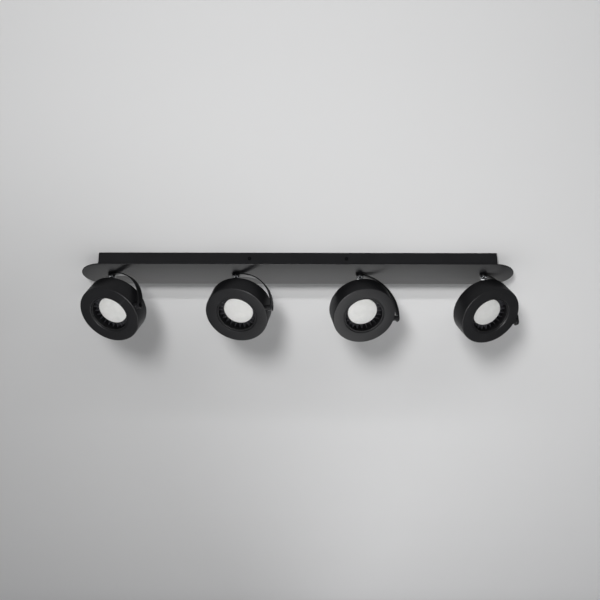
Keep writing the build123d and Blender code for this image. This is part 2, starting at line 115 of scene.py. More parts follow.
def powderCoat(name, look):
    # Polyester powder baked on metal: a dry, even black with a soft sheen and a faint orange peel.
    material, tree, shader = newMaterial(name)
    place = addNode(tree, "ShaderNodeTexCoord").outputs["Object"]
    peel = addNode(tree, "ShaderNodeTexNoise",
                   {"Scale": grainOf(look["orangePeel"]), "Detail": 3.0, "Roughness": 0.5}, {"Vector": place})
    grit = addNode(tree, "ShaderNodeTexNoise", {"Scale": grainOf(look["grit"]), "Detail": 2.0, "Roughness": 0.6},
                   {"Vector": place})
    patch = addNode(tree, "ShaderNodeTexNoise", {"Scale": grainOf(look["patch"]), "Detail": 4.0, "Roughness": 0.6},
                    {"Vector": place})
    patches = addNode(tree, "ShaderNodeMapRange", noiseMiddle, {"Value": patch.outputs["Fac"]})
    film = addNode(tree, "ShaderNodeMix", {"data_type": "RGBA"}, {"Factor": patches.outputs["Result"]})
    film.inputs[mixA].default_value = linearColour(look["dark"])
    film.inputs[mixB].default_value = linearColour(look["pale"])
    # sharp edges turn paler: partly rubbing, partly a painted highlight along the rims
    point = addNode(tree, "ShaderNodeNewGeometry").outputs["Pointiness"]
    wearAndHighlightMask = addNode(tree, "ShaderNodeMapRange", {"From Min": look["wearAndHighlightFrom"], "From Max": look["wearAndHighlightFull"],
                                                "To Max": look["wearAndHighlight"]}, {"Value": point})
    rubbedAndHighlighted = addNode(tree, "ShaderNodeMix", {"data_type": "RGBA"}, {"Factor": wearAndHighlightMask.outputs["Result"]})
    tree.links.new(film.outputs[mixed], rubbedAndHighlighted.inputs[mixA])
    rubbedAndHighlighted.inputs[mixB].default_value = linearColour(look["edge"])
    tree.links.new(rubbedAndHighlighted.outputs[mixed], shader.inputs["Base Color"])
    sheen = addNode(tree, "ShaderNodeMapRange",
                    noiseMiddle | {"To Min": look["roughLow"], "To Max": look["roughHigh"]},
                    {"Value": peel.outputs["Fac"]})
    tree.links.new(sheen.outputs["Result"], shader.inputs["Roughness"])
    height = addNode(tree, "ShaderNodeMath", {"operation": "ADD"})
    tree.links.new(peel.outputs["Fac"], height.inputs[0])
    tree.links.new(grit.outputs["Fac"], height.inputs[1])
    relief = addNode(tree, "ShaderNodeBump", {"Strength": look["bump"], "Distance": look["filmDepth"] * mm},
                     {"Height": height.outputs[0]})
    tree.links.new(relief.outputs["Normal"], shader.inputs["Normal"])
    shader.inputs["Specular IOR Level"].default_value = 0.5
    return material


def plainMetal(name, look):
    # Metal with its own colour: fine rolling or turning marks, cloudy tone and small scratches.
    material, tree, shader = newMaterial(name)
    place = addNode(tree, "ShaderNodeTexCoord").outputs["Object"]
    stretch = addNode(tree, "ShaderNodeMapping", {"Scale": look.get("stretch", (1, 1, 1))}, {"Vector": place})
    mark = addNode(tree, "ShaderNodeTexNoise", {"Scale": grainOf(look["mark"]), "Detail": 3.0},
                   {"Vector": stretch.outputs["Vector"]})
    cloud = addNode(tree, "ShaderNodeTexNoise", {"Scale": grainOf(look["cloud"]), "Detail": 4.0}, {"Vector": place})
    tones = addNode(tree, "ShaderNodeMapRange", noiseMiddle, {"Value": cloud.outputs["Fac"]})
    tone = addNode(tree, "ShaderNodeMix", {"data_type": "RGBA"}, {"Factor": tones.outputs["Result"]})
    tone.inputs[mixA].default_value = linearColour(look["dark"])
    tone.inputs[mixB].default_value = linearColour(look["pale"])
    tree.links.new(tone.outputs[mixed], shader.inputs["Base Color"])
    sheen = addNode(tree, "ShaderNodeMapRange",
                    noiseMiddle | {"To Min": look["roughLow"], "To Max": look["roughHigh"]},
                    {"Value": mark.outputs["Fac"]})
    tree.links.new(sheen.outputs["Result"], shader.inputs["Roughness"])
    relief = addNode(tree, "ShaderNodeBump", {"Strength": look["bump"], "Distance": skinDepth},
                     {"Height": mark.outputs["Fac"]})
    tree.links.new(relief.outputs["Normal"], shader.inputs["Normal"])
    shader.inputs["Metallic"].default_value = 1.0
    return material


scatterReach = (4 * mm, 4 * mm, 3.6 * mm)  # how far light runs inside a milky plastic


def plastic(name, look):
    # Moulded plastic or rubber: an even body colour, slight flow marks, a fine eroded skin.
    material, tree, shader = newMaterial(name)
    place = addNode(tree, "ShaderNodeTexCoord").outputs["Object"]
    skin = addNode(tree, "ShaderNodeTexNoise", {"Scale": grainOf(look["skin"]), "Detail": 2.0}, {"Vector": place})
    flow = addNode(tree, "ShaderNodeTexNoise", {"Scale": grainOf(look["flow"]), "Detail": 3.0}, {"Vector": place})
    tones = addNode(tree, "ShaderNodeMapRange", noiseMiddle, {"Value": flow.outputs["Fac"]})
    tone = addNode(tree, "ShaderNodeMix", {"data_type": "RGBA"}, {"Factor": tones.outputs["Result"]})
    tone.inputs[mixA].default_value = linearColour(look["dark"])
    tone.inputs[mixB].default_value = linearColour(look["pale"])
    tree.links.new(tone.outputs[mixed], shader.inputs["Base Color"])
    sheen = addNode(tree, "ShaderNodeMapRange",
                    noiseMiddle | {"To Min": look["roughLow"], "To Max": look["roughHigh"]},
                    {"Value": skin.outputs["Fac"]})
    tree.links.new(sheen.outputs["Result"], shader.inputs["Roughness"])
    relief = addNode(tree, "ShaderNodeBump", {"Strength": look["bump"], "Distance": skinDepth},
                     {"Height": skin.outputs["Fac"]})
    tree.links.new(relief.outputs["Normal"], shader.inputs["Normal"])
    shader.inputs["IOR"].default_value = look.get("ior", 1.49)
    shader.inputs["Subsurface Weight"].default_value = look.get("under", 0.0)
    shader.inputs["Subsurface Radius"].default_value = scatterReach
    shader.inputs["Subsurface Scale"].default_value = 1.0
    return material


materials = {
    "coatedSteel": powderCoat("powderCoatedSteel", coatLook),
    "coatedCasting": powderCoat("powderCoatedCasting", dict(coatLook, orangePeel=2.2, patch=26.0, roughLow=0.36,
                                                            roughHigh=0.46)),
    # the arms' strip has a thinner, glossier film than the castings
    "satinStrip": powderCoat("satinCoatedStrip", dict(coatLook, orangePeel=1.2, patch=18.0, roughLow=0.26,
                                                      roughHigh=0.38, bump=0.08)),
    # zinc plate: pale grey with a bluish, cloudy passivation
    "zincPlate": plainMetal("zincPlatedSteel", {"dark": "#9a9da2", "pale": "#bcbec2", "mark": 0.7, "cloud": 14.0,
                                                "roughLow": 0.26, "roughHigh": 0.44, "bump": 0.12,
                                                "stretch": (0.12, 1, 1)}),
    # polished chrome over nickel: almost a mirror, with hairline wiping scratches
    "chrome": plainMetal("polishedChrome", {"dark": "#c3c5c8", "pale": "#cfd1d3", "mark": 0.5, "cloud": 8.0,
                                            "roughLow": 0.05, "roughHigh": 0.11, "bump": 0.02}),
    # black oxide on steel screws: dark blue-grey with a thin oiled shine
    "blackOxide": plainMetal("blackOxideSteel", {"dark": "#18191b", "pale": "#2a2b2e", "mark": 0.4, "cloud": 3.0,
                                                 "roughLow": 0.30, "roughHigh": 0.46, "bump": 0.08}),
    # die-cast fins, black anodised: a dyed oxide skin, satin and finely grained, with a painted highlight making the
    # fin edges paler
    "anodised": powderCoat("blackAnodisedAluminium", dict(coatLook, dark="#29292c", pale="#39393d", edge="#6a6a6e",
                                                          orangePeel=0.9, patch=7.0, roughLow=0.30, roughHigh=0.44)),
    # turned brass: warm yellow, fine turning marks, a slight tarnish
    "brass": plainMetal("turnedBrass", {"dark": "#b08d4a", "pale": "#cfae6a", "mark": 0.4, "cloud": 4.0,
                                        "roughLow": 0.18, "roughHigh": 0.32, "bump": 0.06}),
    # opal polycarbonate: milky white, light scatters just under a satin skin
    "opal": plastic("opalPolycarbonate", {"dark": "#d6d6d3", "pale": "#dfdfdc", "skin": 0.8, "flow": 12.0,
                                          "roughLow": 0.36, "roughHigh": 0.46, "bump": 0.03, "ior": 1.58,
                                          "under": 0.35}),
    # solder mask over aluminium: printed white lacquer, a little glossy
    "solderMask": plastic("whiteSolderMask", {"dark": "#dcdcd6", "pale": "#ecece8", "skin": 0.5, "flow": 6.0,
                                              "roughLow": 0.3, "roughHigh": 0.42, "bump": 0.05}),
    # moulded polycarbonate case: off-white, with a spark-eroded matt skin
    "driverCase": plastic("mouldedPolycarbonateCase", {"dark": "#cfcfca", "pale": "#dbdbd7", "skin": 0.7,
                                                       "flow": 20.0, "roughLow": 0.42, "roughHigh": 0.58,
                                                       "bump": 0.12}),
    # moulded polyamide: ivory, slightly waxy
    "polyamide": plastic("mouldedPolyamide", {"dark": "#c9c6bb", "pale": "#d9d6cb", "skin": 0.6, "flow": 9.0,
                                              "roughLow": 0.38, "roughHigh": 0.52, "bump": 0.1}),
    # moulded rubber: dull black that scatters light and hardly shines
    "rubber": plastic("mouldedRubber", {"dark": "#161616", "pale": "#232323", "skin": 0.5, "flow": 5.0,
                                        "roughLow": 0.62, "roughHigh": 0.8, "bump": 0.12}),
}
leadColours = {"brown": ("#4a2413", "#5c3220"), "blue": ("#1c3f73", "#28508a"), "green": ("#3f6a1e", "#7c9a2a"),
               "red": ("#7b1713", "#931f19")}
for leadName, (dark, pale) in leadColours.items():
    # extruded PVC insulation: smooth, a little waxy
    materials[leadName + "Lead"] = plastic(leadName + "ExtrudedPvc", {
        "dark": dark, "pale": pale, "skin": 0.6, "flow": 7.0, "roughLow": 0.3, "roughHigh": 0.42, "bump": 0.05})
print("materials made:", len(materials))


# mesh helpers
def makePiece(name, verts, faces, material, body, replaced=(), slotName=None, sharp=32):
    mesh = bpy.data.meshes.new(name)
    mesh.from_pydata([tuple(v) for v in verts], [], faces)
    mesh.validate()
    bm = bmesh.new()
    bm.from_mesh(mesh)
    bmesh.ops.recalc_face_normals(bm, faces=bm.faces)
    bm.to_mesh(mesh)
    bm.free()
    mesh.shade_smooth()
    mesh.set_sharp_from_angle(angle=radians(sharp))
    piece = bpy.data.objects.new(name, mesh)
    bpy.context.scene.collection.objects.link(piece)
    mesh.materials.append(material)
    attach(piece, body)
    if replaced:
        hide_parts(*replaced)
    return piece


def rounded(corners, steps=5):
    # corners are (x, y, radius); a corner with a radius becomes an arc tangent to both sides
    count = len(corners)
    out = []
    for i, (x, y, radius) in enumerate(corners):
        here = Vector((x, y))
        before = Vector(corners[i - 1][:2]) - here
        after = Vector(corners[(i + 1) % count][:2]) - here
        if radius <= 0:
            out.append((x, y))
            continue
        turn = before.angle(after)
        reach = radius / (sin(turn / 2) / cos(turn / 2))
        start = here + before.normalized() * reach
        end = here + after.normalized() * reach
        middle = here + (before.normalized() + after.normalized()).normalized() * (radius / sin(turn / 2))
        first = atan2(start.y - middle.y, start.x - middle.x)
        sweepAngle = atan2(end.y - middle.y, end.x - middle.x) - first
        sweepAngle = (sweepAngle + pi) % (2 * pi) - pi
        for k in range(steps + 1):
            angle = first + sweepAngle * k / steps
            out.append((middle.x + radius * cos(angle), middle.y + radius * sin(angle)))
    return out


def lathe(profile, segments, closed):
    # profile is a list of (radius, height) in mm, turned about local Z; poles where the radius is 0
    verts, rings, faces = [], [], []
    for radius, height in profile:
        if radius < 1e-6:
            rings.append([len(verts)] * segments)
            verts.append((0, 0, height))
            continue
        rings.append(list(range(len(verts), len(verts) + segments)))
        verts += [(radius * cos(2 * pi * k / segments), radius * sin(2 * pi * k / segments), height)
                  for k in range(segments)]
    pairs = list(zip(rings, rings[1:])) + ([(rings[-1], rings[0])] if closed else [])
    for low, high in pairs:
        for k in range(segments):
            loop = [low[k], low[(k + 1) % segments], high[(k + 1) % segments], high[k]]
            loop = list(dict.fromkeys(loop))
            if len(loop) > 2:
                faces.append(loop)
    return verts, faces


def loft(rings, capStart=True, capEnd=True):
    # rings are equal-length lists of 3-D points
    count = len(rings[0])
    verts = [point for ring in rings for point in ring]
    faces = []
    for level in range(len(rings) - 1):
        for k in range(count):
            a = level * count + k
            b = level * count + (k + 1) % count
            faces.append([a, b, b + count, a + count])
    if capStart:
        faces.append(list(range(count))[::-1])
    if capEnd:
        faces.append([(len(rings) - 1) * count + k for k in range(count)])
    return verts, faces


def join(*shapes):
    verts, faces = [], []
    for shapeVerts, shapeFaces in shapes:
        faces += [[index + len(verts) for index in face] for face in shapeFaces]
        verts += list(shapeVerts)
    return verts, faces


def placed(shape, matrix):  # shape in mm to its place in metres
    verts, faces = shape
    return [matrix @ (Vector(v) * mm) for v in verts], faces


def axisFrame(origin, axis, across):
    z = axis.normalized()
    x = (across - across.dot(z) * z).normalized()
    return Matrix.Translation(origin) @ Matrix((x, z.cross(x), z)).transposed().to_4x4()


def roundRect(halfX, halfY, radius, steps=6):
    return rounded([(halfX, -halfY, radius), (halfX, halfY, radius), (-halfX, halfY, radius),
                    (-halfX, -halfY, radius)], steps)


def level(outline, height):
    return [(x, y, height) for x, y in outline]


# degrees: below "flat" two faces of a CAD mesh count as one, above "edge" they meet at an edge
softLook = {"flat": 0.6, "edge": 40}


def softened(name, material, width, segments=3):
    # a CAD node keeps its own mesh; its sharp edges are broken by a bevel
    piece = frame["nodes"][name]
    piece.data.materials.clear()
    piece.data.materials.append(material)
    flat = piece.modifiers.new("flatten", "DECIMATE")
    flat.decimate_type = "DISSOLVE"
    flat.angle_limit = radians(softLook["flat"])
    bevel = piece.modifiers.new("brokenEdges", "BEVEL")
    bevel.width = width * mm
    bevel.segments = segments
    bevel.limit_method = "ANGLE"
    bevel.angle_limit = radians(softLook["edge"])
    bevel.harden_normals = False


# places taken from the frame
canopyLow, canopyHigh = (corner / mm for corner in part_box("canopy"))
plateLow, plateHigh = (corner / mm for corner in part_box("plate"))
plateUnder = plateLow.z

# canopy: folded sheet steel tray, bend radius on the floor edges, four folded corners
canopyLook = {"sheet": 1.2, "corner": 1.2, "bend": 1.2, "innerBend": 0.4, "rim": 0.25, "rimStep": 0.08,
              "sharp": 0.05}


def buildCanopy():
    s = canopyLook
    halfX, halfY = canopyHigh.x, canopyHigh.y
    floor, top = canopyLow.z, canopyHigh.z
    rings = []
    for angle in range(0, 91, 15):  # outer bend, from the flat floor up to the wall
        inset = s["bend"] * (1 - sin(radians(angle)))
        height = floor + s["bend"] * (1 - cos(radians(angle)))
        rings.append(level(roundRect(halfX - inset, halfY - inset, max(s["corner"] - inset, s["sharp"])), height))
    for inset, drop in ((0, s["rim"]), (s["rimStep"], s["rimStep"]), (s["rim"], 0), (s["sheet"] - s["rim"], 0),
                        (s["sheet"] - s["rimStep"], s["rimStep"]), (s["sheet"], s["rim"])):
        rings.append(level(roundRect(halfX - inset, halfY - inset, max(s["corner"] - inset, s["sharp"])), top - drop))
    inner = s["sheet"]
    for angle in range(90, -1, -30):  # inner bend
        inset = inner + s["innerBend"] * (1 - sin(radians(angle)))
        height = floor + inner + s["innerBend"] * (1 - cos(radians(angle)))
        rings.append(level(roundRect(halfX - inset, halfY - inset, s["sharp"]), height))
    makePiece("canopyTray", *placed(loft(rings), Matrix()), materials["coatedSteel"], "bar", ["canopy"],
              "black_coat")


buildCanopy()

# plate: laser-cut strip with round ends and a slightly rolled edge
plateLook = {"edge": 0.5, "edgeTurn": 18, "endSteps": 48}


def buildPlate():
    halfX, halfY = plateHigh.x, plateHigh.y
    straight = halfX - halfY

    def outline(inset):
        radius = halfY - inset
        steps = plateLook["endSteps"]
        right = [(straight + radius * sin(pi * k / steps), -radius * cos(pi * k / steps))
                 for k in range(steps + 1)]
        return right + [(-x, -y) for x, y in right]

    edge = plateLook["edge"]
    rings = []
    turns = list(range(0, 91, plateLook["edgeTurn"]))
    for angles, height, way in ((turns, plateLow.z, 1), (turns[::-1], plateHigh.z, -1)):
        for angle in angles:
            inset, rise = edge * (1 - sin(radians(angle))), edge * (1 - cos(radians(angle)))
            rings.append(level(outline(inset), height + way * rise))
    makePiece("roundEndPlate", *placed(loft(rings), Matrix()), materials["coatedSteel"], "bar", ["plate"],
              "black_coat")


buildPlate()
print("bar built")

# parts inside the canopy, and small fasteners
insideEdges = {  # node: finish, broken edge in mm
    "canopy_set_screws": ("blackOxide", 0.2), "supply_grommet": ("rubber", 0.15), "earth_screw": ("brass", 0.2),
    "terminal_block": ("polyamide", 0.3), "terminal_screws": ("zincPlate", 0.12), "led_driver": ("driverCase", 0.4),
    "driver_screws": ("zincPlate", 0.15), "stud_nuts": ("zincPlate", 0.3),
}
softened("ceiling_bracket", materials["zincPlate"], 0.2, segments=2)
for nodeName, (finish, edgeWidth) in insideEdges.items():
    softened(nodeName, materials[finish], edgeWidth)


def paintLeads(name, order):
    # each lead is its own island; they are told apart by where their middle lies
    piece = frame["nodes"][name]
    mesh = piece.data
    mesh.materials.clear()
    for leadName in order:
        mesh.materials.append(materials[leadName + "Lead"])
    parent = list(range(len(mesh.vertices)))

    def root(i):
        while parent[i] != i:
            parent[i] = parent[parent[i]]
            i = parent[i]
        return i

    seen = {}
    for vertex in mesh.vertices:
        key = tuple(round(c, 6) for c in vertex.co)
        parent[root(vertex.index)] = root(seen.setdefault(key, vertex.index))
    for edge in mesh.edges:
        parent[root(edge.vertices[0])] = root(edge.vertices[1])
    islands = {}
    for vertex in mesh.vertices:
        islands.setdefault(root(vertex.index), []).append(vertex.co.y)
    ranked = sorted(islands, key=lambda key: sum(islands[key]) / len(islands[key]))
    for polygon in mesh.polygons:
        polygon.material_index = ranked.index(root(polygon.vertices[0])) % len(order)


paintLeads("supply_leads", ["blue", "green", "brown"])
paintLeads("lamp_leads", ["red"])
print("inside of the canopy painted")

# swivel: thin black washer under the plate, chrome domed cap on the hollow stud
swivelLook = {"bore": 3.0, "bushEdge": 0.3, "capHeight": 6.8, "capDome": 2.6, "capGroove": 0.35, "domeSteps": 8,
              "poleEase": 0.985, "seat": 4.2, "seatHeight": 0.5, "leadBore": 1.6, "leadDepth": 4, "tipEdge": 0.4}


def buildSwivel(number):
    s = swivelLook
    bushLow, bushHigh = (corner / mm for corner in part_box(f"swivel_bush_{number}"))
    studLow, studHigh = (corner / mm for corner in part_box(f"swivel_stud_{number}"))
    centre = Vector(((bushLow.x + bushHigh.x) / 2, 0, 0))
    bushRadius, bore, edge = (bushHigh.x - bushLow.x) / 2, s["bore"], s["bushEdge"]
    profile = rounded([(bore, bushLow.z, 0), (bushRadius, bushLow.z, edge), (bushRadius, bushHigh.z, edge),
                       (bore, bushHigh.z, 0)], 4)
    matrix = Matrix.Translation(centre * mm)
    makePiece(f"swivelWasher{number}", *placed(lathe(profile, 64, True), matrix), materials["coatedSteel"], "bar",
              [f"swivel_bush_{number}"], "black_coat")
    radius, bottom = (studHigh.x - studLow.x) / 2, studLow.z
    capTop, groove, rise = bottom + s["capHeight"], s["capGroove"], s["capDome"]
    dome = []
    for k in range(s["domeSteps"] + 1):  # shallow polished dome, from the pole out to the side
        angle = radians(90) * k / s["domeSteps"]
        ease = s["poleEase"] if k < s["domeSteps"] else 1
        dome.append((radius * sin(angle) * ease, bottom + rise * (1 - cos(angle))))
    shoulder = capTop - s["seatHeight"]
    side = rounded([(radius, bottom + rise, 0), (radius, bottom + rise + 1.0, 0.1),
                    (radius - groove, bottom + rise + 1.2, 0.1), (radius - groove, bottom + rise + 1.5, 0.1),
                    (radius, bottom + rise + 1.7, 0.1), (radius, shoulder, 0.4), (s["seat"], shoulder, 0),
                    (s["seat"], capTop, 0.12), (bore, capTop, 0)], 4)[1:-1]
    end, well = studHigh.z, studHigh.z - s["leadDepth"]
    shaft = [(bore, capTop), (bore, end - s["tipEdge"]), (bore - s["tipEdge"], end), (s["leadBore"], end),
             (s["leadBore"], well), (0, well)]
    makePiece(f"swivelCap{number}", *placed(lathe(dome + side + shaft, 96, False), matrix), materials["chrome"],
              "bar", [f"swivel_stud_{number}"], "chrome_plate")


# arm: rolled strip with broken edges, its ends rounded, drilled for the stud and the pin
armLook = {"width": 12.5, "thickness": 2.0, "reach": 74.0, "tail": 8.0, "edge": 0.45, "endCorner": 4.0,
           "arcSteps": 64, "tailSteps": 14, "endSteps": 16, "tipWidth": 0.12, "pinHole": 2.56, "pinSeat": 4.5,
           "studHole": 3.06, "overcut": 1.0}


def armPath(top, bottom):
    # points (out, height) and normals along the strip's outer face, from the tail to the lower end
    reach = armLook["reach"]
    points = []
    for k in range(armLook["tailSteps"] + 1):  # stops just short of the bend, so that no two rings meet
        out = -armLook["tail"] + armLook["tail"] * (1 - cos(pi / 2 * k / armLook["tailSteps"])) * 0.999
        points.append((out, top, 0.0, 1.0))
    for k in range(armLook["arcSteps"] + 1):
        angle = pi / 2 * (1 - k / armLook["arcSteps"])
        points.append((reach * cos(angle), top - reach + reach * sin(angle), cos(angle), sin(angle)))
    start = top - reach
    for k in range(1, armLook["endSteps"] + 1):
        points.append((reach, start + (bottom - start) * sin(pi / 2 * k / armLook["endSteps"]), 1.0, 0.0))
    return points


def buildArm(number):
    pan = joints[f"pan_{number}"]
    tilt = joints[f"tilt_{number}"]
    side = Vector(tilt["axis"]).normalized()
    centre = Vector((pan["pos_m"][0], 0, 0)) / mm
    low, high = (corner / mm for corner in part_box(f"arm_{number}"))
    top, bottom = high.z, low.z
    half = armLook["width"] / 2
    thick = armLook["thickness"]
    edge = armLook["edge"]
    path = armPath(top, bottom)
    lengths = [0.0]
    for a, b in zip(path, path[1:]):
        lengths.append(lengths[-1] + sqrt((a[0] - b[0]) ** 2 + (a[1] - b[1]) ** 2))
    across = side.cross(Vector((0, 0, 1)))
    rings = []
    for (out, height, nx, nz), run in zip(path, lengths):
        width = half
        tailRadius = half - 0.1
        if run < tailRadius:
            width = half - tailRadius + sqrt(max(tailRadius ** 2 - (tailRadius - run) ** 2, 0))
        left = lengths[-1] - run
        corner = armLook["endCorner"]
        if left < corner:
            width = min(width, half - corner + sqrt(max(corner ** 2 - (corner - left) ** 2, 0)))
        width = max(width, armLook["tipWidth"])
        cut = min(edge, width * 0.6)
        section = rounded([(width, 0, cut), (-width, 0, cut), (-width, -thick, cut), (width, -thick, cut)], 3)
        ring = []
        for w, t in section:
            point = centre + side * (out + nx * t) + Vector((0, 0, height + nz * t)) + across * w
            ring.append(tuple(point))
        rings.append(ring)
    arm = makePiece(f"stripArm{number}", *placed(loft(rings), Matrix()), materials["satinStrip"],
                    f"arm_body_{number}", [f"arm_{number}"], "black_coat")
    pivot = Vector(tilt["pos_m"])
    inner = armLook["reach"] - thick
    outside, pinRadius, seatRadius = inner + thick, armLook["pinHole"], armLook["pinSeat"]
    past, studRadius = armLook["overcut"], armLook["studHole"]
    pinHole = lathe([(0, inner - past), (pinRadius, inner - past), (pinRadius, inner + 0.5), (seatRadius, outside),
                     (seatRadius, outside + past), (0, outside + past)], 48, False)
    studHole = lathe([(0, top - thick - past), (studRadius, top - thick - past), (studRadius, top + past),
                      (0, top + past)], 48, False)
    for label, shape, matrix in (("pin", pinHole, axisFrame(pivot, side, Vector((0, 0, 1)))),
                                 ("stud", studHole, Matrix.Translation(centre * mm))):
        cutterMesh = bpy.data.meshes.new(label)
        cutVerts, cutFaces = placed(shape, matrix)
        cutterMesh.from_pydata([tuple(v) for v in cutVerts], [], cutFaces)
        cutter = bpy.data.objects.new(label + "Cutter", cutterMesh)
        bpy.context.scene.collection.objects.link(cutter)
        cut = arm.modifiers.new(label + "Hole", "BOOLEAN")
        cut.operation = "DIFFERENCE"
        cut.solver = "EXACT"
        cut.object = cutter
        bpy.context.view_layer.update()
        drilled = bpy.data.meshes.new_from_object(arm.evaluated_get(bpy.context.evaluated_depsgraph_get()))
        arm.modifiers.clear()
        arm.data = drilled
        bpy.data.objects.remove(cutter)
    arm.data.shade_smooth()
    arm.data.set_sharp_from_angle(angle=radians(softLook["edge"]))
    arm.data.name = arm.name


# head pieces
headLook = {
    "radius": 57.97, "thickness": 36.0, "offset": 5.0, "setback": 7.0, "wall": 2.6, "outerEdge": 1.6,
    "opening": 36.5, "bevel": 1.4, "lip": 34.3, "lipRecess": 1.4, "lipThickness": 1.6, "collar": 2.0,
    "groove": 0.55, "grooveDepth": 0.9, "segments": 160, "coverRecess": 2.0, "draft": 0.72,
    "lensRadius": 27.2, "lensRise": 1.6, "lensRecess": 14.5, "lensWall": 1.4, "lensEdge": 0.7,
    "domeSteps": 22, "boardThickness": 1.6,
    "finCount": 24, "finThickness": 2.0, "finRecess": 12.5, "sleeveWall": 1.2, "boardRecess": 26.0,
    "sinkFloor": 4.0, "boss": 6.5, "bossStandOut": 0.6, "bossRoot": 3.0, "pinHole": 2.5,
}


def headFrame(number):
    # the beam's rest tilt is the middle of the tilt joint's travel, which runs 90 degrees each way
    tilt = joints[f"tilt_{number}"]
    side = Vector(tilt["axis"]).normalized()
    down = radians(sum(tilt["range_deg"]) / 2)
    forward = Vector((0, 0, 1)).cross(side) * -1
    beam = forward * sin(down) + Vector((0, 0, -1)) * cos(down)
    h = headLook
    middle = Vector(tilt["pos_m"]) + (side * h["offset"] - beam * (h["thickness"] / 2 - h["setback"])) * mm
    return middle, side, beam


def buildHousing(number, middle, side, beam):
    h = headLook
    r, half, wall = h["radius"], h["thickness"] / 2, h["wall"]
    opening, collar = h["opening"], h["collar"]
    floor = half - h["boardRecess"] - h["sinkFloor"]
    lipTop, lipLow = half - h["lipRecess"], half - h["lipRecess"] - h["lipThickness"]
    corners = [
        (r, -half, h["outerEdge"]), (r, half, h["outerEdge"]),
        (opening + h["bevel"], half, 0.3), (opening + 0.1, lipTop, 0.1),
        (opening + 0.1, lipTop - h["grooveDepth"], 0),
        (opening + 0.1 - h["groove"], lipTop - h["grooveDepth"], 0),
        (opening + 0.1 - h["groove"], lipTop, 0.15), (h["lip"], lipTop, 0.5), (h["lip"], lipLow, 0.5),
        (opening, lipLow, 0.2),
        (opening, floor, 0.2), (opening + collar, floor, 0.2), (opening + collar, half - wall, 0.8),
        (r - wall, half - wall, 1.0), (r - wall, -half, 0.4),
    ]
    drum = lathe(rounded(corners, 6), h["segments"], True)
    bossFrame = axisFrame(middle, beam, side).inverted() @ axisFrame(
        Vector(joints[f"tilt_{number}"]["pos_m"]), side, beam)
    seat = h["offset"] + r + h["bossStandOut"]
    root, bore = seat - h["bossRoot"], h["pinHole"]
    boss = lathe([(bore, root), (h["boss"], root)] + rounded(
        [(h["boss"], root + 0.2, 0), (h["boss"], seat, 0.3), (bore, seat, 0)], 4)[1:], 64, True)
    bossPlaced = ([bossFrame @ (Vector(v) * mm) / mm for v in boss[0]], boss[1])
    shape = join(drum, bossPlaced)
    makePiece(f"drumHousing{number}", *placed(shape, axisFrame(middle, beam, side)), materials["coatedCasting"],
              f"head_{number}", [f"housing_{number}"], "black_coat")


def buildHeatSink(number, middle, side, beam):
    h = headLook
    half = h["thickness"] / 2
    base = half - h["boardRecess"]
    outer = h["opening"] - 0.2
    sleeveInner = h["lensRadius"] + 0.2
    sleeveOuter = sleeveInner + h["sleeveWall"]
    sleeveTop = half - h["lensRecess"] - 1
    body = lathe(rounded([
        (0, base, 0), (sleeveInner, base, 0.3), (sleeveInner, sleeveTop, 0.3), (sleeveOuter, sleeveTop, 0.3),
        (sleeveOuter, base, 0.4), (outer, base, 0.1), (outer, base - h["sinkFloor"], 0.1),
        (h["opening"] + h["collar"], base - h["sinkFloor"], 0.2),
        (h["opening"] + h["collar"], h["coverRecess"] - half, 0.2), (0, h["coverRecess"] - half, 0)
    ], 3), h["segments"], False)
    shapes = [body]
    top = half - h["finRecess"]
    inner = sleeveOuter - h["sleeveWall"] / 2
    for k in range(h["finCount"]):
        turn = Matrix.Rotation(2 * pi * k / h["finCount"], 4, "Z")
        root, tip = h["finThickness"] / 2, h["finThickness"] / 2 * h["draft"]
        ringList = []
        for height, thick, shrink in ((base - 0.5, root, 0), (top - 0.5, tip, 0), (top - 0.15, tip - 0.12, 0.12),
                                      (top, tip - 0.4, 0.4)):
            outline = rounded([(outer - 0.05 - shrink, -thick, 0.25), (outer - 0.05 - shrink, thick, 0.25),
                               (inner + shrink, thick, 0.25), (inner + shrink, -thick, 0.25)], 2)
            ringList.append([tuple(turn @ Vector((x, y, height))) for x, y in outline])
        shapes.append(loft(ringList))
    makePiece(f"finnedHeatSink{number}", *placed(join(*shapes), axisFrame(middle, beam, side)),
              materials["anodised"], f"head_{number}", [f"heat_sink_{number}"], "sink_anodised")


def buildDiffuser(number, middle, side, beam):
    h = headLook
    half = h["thickness"] / 2
    rim = half - h["lensRecess"]
    radius, rise, thick, edge = h["lensRadius"], h["lensRise"], h["lensWall"], h["lensEdge"]
    skirtEnd = half - h["boardRecess"] + h["boardThickness"]
    sphere = (radius ** 2 + rise ** 2) / (2 * rise)
    dome = []
    steps = h["domeSteps"]
    for k in range(steps + 1):  # shallow dome from the middle to where the moulded edge starts
        out = (radius - edge) * k / steps
        dome.append((out, rim + rise - (sphere - sqrt(sphere ** 2 - out ** 2))))
    turnLow = dome[-1][1] - edge
    turned = [(radius - edge + edge * sin(radians(a)), turnLow + edge * cos(radians(a))) for a in range(15, 91, 15)]
    inner = radius - thick
    inside = [(inner * k / steps, dome[k][1] - thick) for k in range(steps, -1, -1)]
    profile = dome + turned + [(radius, skirtEnd + 0.2), (radius - 0.2, skirtEnd), (inner + 0.2, skirtEnd),
                               (inner, skirtEnd + 0.2)] + inside
    makePiece(f"opalDiffuser{number}", *placed(lathe(profile, h["segments"], False), axisFrame(middle, beam, side)),
              materials["opal"], f"head_{number}", [f"diffuser_{number}"], "opal_diffuser")


# spacer on the tilt pin: turned sleeve with a collar at each end
spacerLook = {"play": 0.3, "collar": 5.6, "waist": 5.0}


